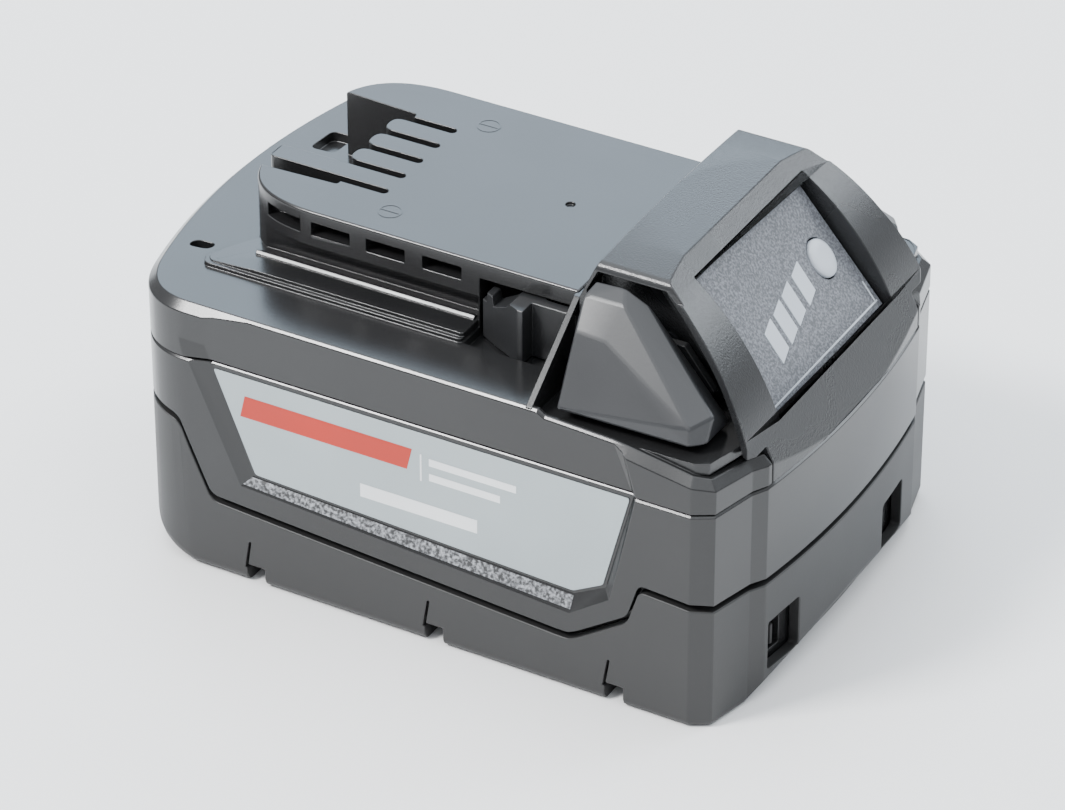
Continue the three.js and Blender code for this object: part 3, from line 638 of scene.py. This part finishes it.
def build_top_case():
    outline = case_outline([BULKHEAD_X + 1] + [x for x, _ in SILL if x < HALF_L - 9.2])
    rings = [[(x, y, PARTING_Z + SEAM) for x, y in outline]]
    for drop, d in ((SHOULDER, 0), (0, SHOULDER), (0, 3.2)):
        ring = inset(outline, d)
        rings.append([(x, y, top_height(base[0]) - drop) for (x, y), base in zip(ring, outline)])
    rings.append([(x, y, 46) for x, y in inset(outline, 3.2)])
    shell = loft(rings)
    deck = prism(UP, inset(outline, 2.9), 45, DECK_Z)
    join(shell, keep(deck, block(-70, BULKHEAD_X + 1, -50, 50, 40, 60)))
    cut(shell, prism(UP, inset(outline, 2.6), 30, DECK_Z - 2.4))
    pocket_floor = prism(UP, inset(outline, 2.2), POCKET_FLOOR_Z - 2, POCKET_FLOOR_Z + 0.1)
    join(shell, keep(pocket_floor, block(BULKHEAD_X, 56.5, -50, 50, 40, 60)))
    for step, top in ((0.75, LEDGE_Z - 0.7), (0, LEDGE_Z)):
        join(shell, ledge(1, step, top), ledge(-1, step, top))
    cut(shell, *[prism(UP, rounded(hollow, 1.2), DECK_Z - 1.8, 60) for hollow in DECK_HOLLOWS])
    tower = prism(UP, tower_outline(), DECK_Z - 2.2, TOWER_Z)
    bevel(tower, 0.5, 60, 8)
    join(shell, tower)
    for side in (-1, 1):
        near = TOWER_W - RAIL_DEPTH
        cut(shell, side_block(side, -55, RAIL_FRONT_X, near, 30, LEDGE_Z, RAIL_TOP_Z))
        cut(shell, *[side_block(side, x, x + WINDOW_LENGTH, near - 1.5, 30, *WINDOW_Z) for x in WINDOW_X])
        join(shell, rail_rib(side))
    cut(shell, prism(UP, oval(GATE_MARK, (0.8, 0.8)), TOWER_Z - 0.5, 70))
    cut(shell, rear_notch())
    cut(shell, *[slit(i * SLIT_PITCH) for i in range(-2, 3)])
    cut(shell, block(-30, 22, -18.3, 18.3, 40, TOWER_Z - 2))
    # latch pockets, and the seat of the head between them
    cut(shell, prism(UP, rounded([(BULKHEAD_X + 1, -POCKET_W), (51.2, -POCKET_W), (55.6, -29), (55.6, 29),
                                  (51.2, POCKET_W), (BULKHEAD_X + 1, POCKET_W)], [0, 3, 3, 3, 3, 0]),
                     POCKET_FLOOR_Z, 90))
    cut(shell, block(BULKHEAD_X + 3, 50, -18, 18, 30, 60), block(51.7, 63, -22.6, 22.6, 30, 90),
        prism(ACROSS, [(54.3, 90), (54.3, 49), (57.1, 41), (63, 41), (63, 90)], -26.7, 26.7))
    for side in (-1, 1):
        rib = [(20, 51), (POCKET_W + 1, 51), (POCKET_W + 1, 51.9), (24, TOWER_Z - 0.3), (20, TOWER_Z - 0.3)]
        join(shell, prism(ALONG, [(side * y, z) for y, z in rib], BULKHEAD_X, BULKHEAD_X + 1.1))
        cut(shell, side_block(side, RAIL_FRONT_X + 0.3, BULKHEAD_X, 18.5, 31, DECK_Z, HOOK_TOP_Z + 0.5),
            side_block(side, RAIL_FRONT_X + 0.3, BULKHEAD_X - 0.6, 18.5, HOOK_PIT_W, HOOK_PIT_Z, DECK_Z + 1),
            side_block(side, BULKHEAD_X - 1, 23, 19, 25.4, DECK_Z, HOOK_TOP_Z + 0.5))
    cut(shell, label_hollow(1), label_hollow(-1))
    return finish(shell, "top_shell", LOOK["case"], "pack", ["top_case"], 0.16)


# ---- head ----
HEAD_PLAN = ((19, 0), (19, 24.8), (37.5, 24.8), (43.8, 27), (49.8, 28.9), (55.8, 31.5), (58.6, 26.4),
             (63, 26.4))
ROOF_W, ROOF_CROWN, ROOF_EDGE = 23.2, 360, 1.6      # half width, twice the crown's radius, edge rounding
POCKET_TOP = [(23.2, 66.6), (25.2, 70.6)]
# (down, y) on the gauge slope
RECESS = ((GAUGE_LENGTH, -20.4), (GAUGE_LENGTH, 20.4), (0, 18.9), (0, -18.9))
PLATE = ((26.2, -19.7), (26.2, 19.7), (0.8, 18.2), (0.8, -18.2))


def head_body():
    profile = [(BULKHEAD_X + 1.4, 42), (BULKHEAD_X + 1.4, 64.8), (25.7, CROWN_Z), (36.4, CROWN_Z - 0.8)]
    head = prism(ACROSS, profile + slope_curve(0) + [(59.8, PARTING_Z + SEAM)], -32, 32)
    roof = [(y, CROWN_Z - y * y / ROOF_CROWN) for y in [ROOF_W * i / 12 for i in range(13)]]
    edge = [(ROOF_W + ROOF_EDGE * math.sin(a), roof[-1][1] - ROOF_EDGE * (1 - math.cos(a)))
            for a in [math.radians(15 * i) for i in range(1, 6)]]
    half = roof + edge + [(25.6, roof[-1][1] - 2.6), (33, roof[-1][1] - 3.4), (33, 30)]
    section = [(-y, z) for y, z in reversed(half)] + half[1:]
    keep(head, prism(ALONG, section, 15, 65))
    keep(head, prism(UP, mirrored(HEAD_PLAN), 30, 90))
    return keep(head, prism(UP, case_outline(), PARTING_Z + SEAM, 90))


def build_head():
    head = head_body()
    # pocket of a latch pad, and its deeper middle
    outer = [(23.2, 40)] + POCKET_TOP + [(37.4, 70.6)] + slope_curve(-1.7) + [(57.4, 42.2), (57.4, 40)]
    inner = [(23.2, 42)] + POCKET_TOP + [(33.5, 70.6), (36, 67.6), slope_point(2, -4.7),
                                         slope_point(24, -4.7), (52, 42)]
    for side in (-1, 1):
        cut(head, side_prism(side, outer, 22.3, 34), side_prism(side, inner, 20, 34),
            side_block(side, BULKHEAD_X, 24, 19.9, 30, 40, HOOK_TOP_Z + 0.5),
            side_block(side, 53, 60, 26.4, 34, 40, 48.3))
    hollow = [(24, 30), (24, 64), (27.4, 70.8), (36, 70.4), slope_point(0.8, -4.6), slope_point(25.5, -4.6),
              (55.9, 42), (55.9, 30)]
    cut(head, prism(ACROSS, hollow, -18, -1), prism(ACROSS, hollow, 1, 18))
    cut(head, block(15, 53, -34, 34, 30, POCKET_FLOOR_Z + 0.3), block(BULKHEAD_X, 26, -14, 14, 50, 60))
    cut(head, prism(on_slope, RECESS, PLATE_OUT - 1.5, 8))
    bay = [(22.4, -17.6), (22.4, 17.6), (4.6, 17.6), (4.6, -17.6)]
    cut(head, prism(on_slope, oval(BUTTON_AT, BUTTON_R, 1.2), -8.6, 0))
    cut(head, prism(on_slope, bay, -8.8, -4.65))
    return finish(head, "head_shell", LOOK["head"], "pack", ["head_cover"], 0.2)


# ---- gauge ----
def bar_outline(at, grow):
    down, y = at
    half_y, half_d = 1.7 + grow, 2.9 + grow
    return [(down - half_d + 0.6, y - half_y), (down + half_d + 0.6, y - half_y),
            (down + half_d - 0.6, y + half_y), (down - half_d - 0.6, y + half_y)]


def build_gauge():
    plate = prism(on_slope, PLATE, PLATE_OUT - 1.2, PLATE_OUT)
    cut(plate, prism(on_slope, oval(BUTTON_AT, BUTTON_R, 0.3), -5, 2),
        *[prism(on_slope, bar_outline(at, 0.08), -5, 2) for at in BAR_AT])
    finish(plate, "gauge_face", LOOK["gauge_plate"], "pack", ["gauge_plate"], 0.08, 2)
    for i, at in enumerate(BAR_AT):
        bar = prism(on_slope, bar_outline(at, 0), PLATE_OUT - 1.2, PLATE_OUT + 0.08)
        finish(bar, f"charge_bar_{i + 1}", LOOK["light_bar"], "pack", [f"gauge_bar_{i + 1}"],
               0.06, 2)
    # one thin rule along the foot of the plate, with a short one up each side
    rules = [[(25.2, -18.9), (25.2, 18.9), (24.9, 18.9), (24.9, -18.9)]]
    rules += [[(25.2, y), (25.2, y + 0.3), (21, y + 0.3), (21, y)] for y in (-18.6, 18.2)]
    strips = [prism(on_slope, rule, PLATE_OUT - 0.2, PLATE_OUT + 0.06) for rule in rules]
    join(strips[0], *strips[1:])
    finish(strips[0], "gauge_rules", LOOK["light_bar"], "pack", [], 0)
    rings = [(-3.4, 0), (0.15, 0), (0.5, -0.12), (0.75, -0.45), (0.88, -1.0), (0.9, -1.8)]
    button = loft([[on_slope(d, y, PLATE_OUT + out) for d, y in oval(BUTTON_AT, BUTTON_R, grow)]
                   for out, grow in rings])
    finish(button, "gauge_key", LOOK["light_bar"], "gauge_button", ["gauge_button"], 0)


# ---- latches ----
# thumb face, then the ridge round it, then the side that falls away under the head's flange
PAD_FACE = ((25, 32, 63.4), (30.6, 32.2, 63.2), (44.4, 37.3, 54.4), (25.2, 38.5, 52.4))
PAD_RIDGE = ((24.5, 28.2, 68), (31.7, 28.1, 68), (48.2, 36.8, 54.8), (48.5, 37.4, 51.9), (25.2, 36.8, 51.2),
             (47.6, 36.2, 51.2))
PAD_SIDE = ((25.2, 25.4, 69.3), (30.4, 25.4, 69.6), (34.9, 25.4, 67.5), (50.6, 33, 55.8), (50.4, 35, 51.6),
            (50.2, 26.5, 51.2), (40, 25, 51.2), (25.2, 25, 51.2))


def build_pad(side, hand):
    pad = hull([(x, side * y, z) for x, y, z in PAD_FACE + PAD_RIDGE + PAD_SIDE])
    bevel(pad, 0.4, 6, 4)
    return finish(pad, f"squeeze_pad_{hand}", LOOK["latch_pad"], f"latch_{hand}", [f"latch_button_{hand}"],
                  0)


def build_spring(side, hand):
    """Coil spring behind a pad."""
    steps = 24 * SPRING_TURNS
    rings = []
    for k in range(steps + 1):
        turn = SPRING_TURNS * 2 * math.pi * k / steps
        y = SPRING_NEAR + (SPRING_FAR - SPRING_NEAR) * k / steps
        rings.append([(SPRING_AT[0] + (SPRING_R + SPRING_WIRE * math.cos(b)) * math.cos(turn),
                       side * (y + SPRING_WIRE * math.sin(b)),
                       SPRING_AT[1] + (SPRING_R + SPRING_WIRE * math.cos(b)) * math.sin(turn))
                      for b in [math.radians(45 * i) for i in range(8)]])
    spring = finish(loft(rings), f"latch_coil_{hand}", LOOK["steel"], "pack", [f"latch_spring_{hand}"],
                    0)
    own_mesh(spring)


def build_hook(side, hand):
    wedge = [(3, 21.6), (3, 23.3), (6.6, 25.2), (12, 27.8), (13, 27.8), (13, 24.7), (HOOK_END_X, 24.7),
             (HOOK_END_X, 22.7), (15, 22.7), (13, 21.6)]
    hook = prism(UP, [(x, side * y) for x, y in wedge], HOOK_PIT_Z + 0.3, HOOK_TOP_Z)
    arm = side_block(side, HOOK_END_X - 3, 24.2, 22.7, 24.7, DECK_Z + 0.4, HOOK_TOP_Z)
    carrier = side_block(side, 24.0, 46, 22.7, 24.1, 53.4, HOOK_TOP_Z)
    cut(carrier, prism(on_slope, [(-5, -40), (30, -40), (30, 40), (-5, 40)], -5.2, 12))
    join(hook, arm, carrier)
    # the top steps down from the nose to a small post at the rear end
    step = [(2, 64), (10, 64), (10, HOOK_TOP_Z - 0.2), (9.2, 59.9), (5.9, 58), (5.6, 59.8), (4.2, 59.8),
            (4.1, 57.9), (2, 57.9)]
    cut(hook, prism(ACROSS, step, -40, 40))
    return finish(hook, f"snap_hook_{hand}", LOOK["latch_hook"], f"latch_{hand}", [f"latch_hook_{hand}"],
                  0.22)


# ---- labels ----
ACCENT = ((-33.9, 32.7), (-1.9, 32.7), (-0.9, 36.9), (-32.9, 36.9))
RULES = (((0.6, 31.2), (0.9, 31.2), (0.9, 36.4), (0.6, 36.4)),
         ((2.3, 34.6), (18.6, 34.6), (18.6, 36), (2.3, 36)),
         ((2.3, 31.7), (15.6, 31.7), (15.6, 33.1), (2.3, 33.1)),
         ((-10.9, 24.3), (11.3, 24.3), (11.3, 26.9), (-10.9, 26.9)))


def print_shape(side, outline, look, name):
    """Thin printed shape. Both labels look the same from outside, so the left one is turned end for end."""
    turned = [(-side * x, z) for x, z in outline]
    shape = side_prism(side, turned, LABEL_FLOOR + 0.1, LABEL_FLOOR + 0.24)
    return finish(shape, name, LOOK[look], "pack", [], 0)


def build_label(side, hand):
    outline = [(-38.9, 40.5), (39.35, 40.5), (34.6, 22.1), (29.1, 19.1), (-31.35, 21.75)]
    film = side_prism(side, rounded(outline, 0.5, 3), LABEL_FLOOR + 0.02, LABEL_FLOOR + 0.2)
    finish(film, f"label_{hand}", LOOK["label"], "pack", [f"side_label_{hand}"], 0.05, 1)
    # plain printed shapes: a slanted accent bar, a divider and three rules
    print_shape(side, ACCENT, "accent", f"label_accent_{hand}")
    for i, rule in enumerate(RULES):
        print_shape(side, rule, "print", f"label_rule_{hand}_{i + 1}")
    # strip of light grains on the recess's lower bevel: the grain is real, but the light grains are a painted
    # highlight where the bevel faces up
    corners = []
    for (x0, z0), (x1, z1) in zip(LABEL[3:], LABEL_RECESS[3:]):
        for t in (0.12, 0.8):
            at = [a + (b - a) * t for a, b in zip((x0, LABEL_FLOOR, z0), (x1, HALF_W, z1))]
            corners += [(at[0], side * (at[1] + off), at[2] + off) for off in (-0.12, 0.07)]
    grain = hull(corners)
    return finish(grain, f"label_grain_sheen_{hand}", LOOK["sheen_grain"], "pack", [], 0)


def dress_frame_nodes():
    """Pieces inside the case keep their CAD shape and get the finish of their material slot."""
    for material in frame["record"]["materials"]:
        for name in material.get("nodes", []):
            node = frame["nodes"][name]
            if not node.hide_render:
                node.data.materials.clear()
                node.data.materials.append(LOOK[material["slot"]])


# ---- stage ----
TARGET = Vector((0.8, 0, 40)) * MM
TOWARDS_CAMERA = Vector((0.4124, -0.7363, 0.5364))
CAMERA_DISTANCE = 0.882
CAMERA_LENS, CAMERA_SHIFT = 177.7, (-0.0078, -0.079)


def build_camera():
    camera = bpy.data.objects.new("camera", bpy.data.cameras.new("camera"))
    bpy.context.scene.collection.objects.link(camera)
    camera.location = TARGET + TOWARDS_CAMERA * CAMERA_DISTANCE
    camera.rotation_euler = (-TOWARDS_CAMERA).to_track_quat("-Z", "Y").to_euler()
    camera.data.lens = CAMERA_LENS
    camera.data.sensor_width = 36
    camera.data.shift_x, camera.data.shift_y = CAMERA_SHIFT
    camera.data.clip_start = 0.01
    bpy.context.scene.camera = camera


def softbox(name, place, size, power, color=(1, 1, 1)):
    light = bpy.data.objects.new(name, bpy.data.lights.new(name, "AREA"))
    bpy.context.scene.collection.objects.link(light)
    light.data.shape = "RECTANGLE"
    light.data.size, light.data.size_y = size
    light.data.energy = power
    light.data.color = color
    light.location = place
    light.rotation_euler = (TARGET - Vector(place)).to_track_quat("-Z", "Y").to_euler()


def build_stage():
    floor = make([(-3000, -3000, 0), (3000, -3000, 0), (3000, 3000, 0), (-3000, 3000, 0)], [[0, 1, 2, 3]])
    floor.data.transform(Matrix.Scale(MM, 4))
    floor.name = "floor"
    material, tree, principled = shader("floor_white", (0.86, 0.86, 0.86), 0.7)
    place = tree.nodes.new("ShaderNodeTexCoord").outputs["Object"]
    tree.links.new(ramp(tree, noise(tree, 4, 2, place), grey(0.85), grey(0.87), 0.3, 0.7),
                   principled.inputs["Base Color"])
    floor.data.materials.append(material)
    build_world()
    softbox("overhead", (0, 0, 1.7), (2.4, 2.4), 34, (0.93, 0.97, 1.0))
    softbox("back_box", (-0.62, 1.12, 0.80), (1.2, 0.7), 12, (0.66, 0.83, 1.0))
    softbox("right_box", (0.72, 1.1, 0.78), (0.6, 0.6), 9, (0.85, 0.93, 1.0))
    softbox("key", (-0.66, -0.86, 1.18), (0.36, 0.36), 34)


def build_world():
    """Even studio light, dimmer towards the horizon."""
    world = bpy.data.worlds.new("studio")
    world.use_nodes = True
    tree = world.node_tree
    split = tree.nodes.new("ShaderNodeSeparateXYZ")
    tree.links.new(tree.nodes.new("ShaderNodeTexCoord").outputs["Generated"], split.inputs["Vector"])
    shade = ramp(tree, split.outputs["Z"], (0.48, 0.49, 0.5), (1.3, 1.35, 1.42), 0.0, 0.85)
    tree.links.new(shade, tree.nodes["Background"].inputs["Color"])
    bpy.context.scene.world = world


build_boot()
build_lower_case()
build_top_case()
build_head()
build_gauge()
for number, at in enumerate(MOULD_MARKS, 1):
    build_mould_mark(at, number)
for side, hand in ((1, "left"), (-1, "right")):
    build_pad(side, hand)
    build_hook(side, hand)
    build_spring(side, hand)
    build_label(side, hand)
dress_frame_nodes()
build_camera()
build_stage()
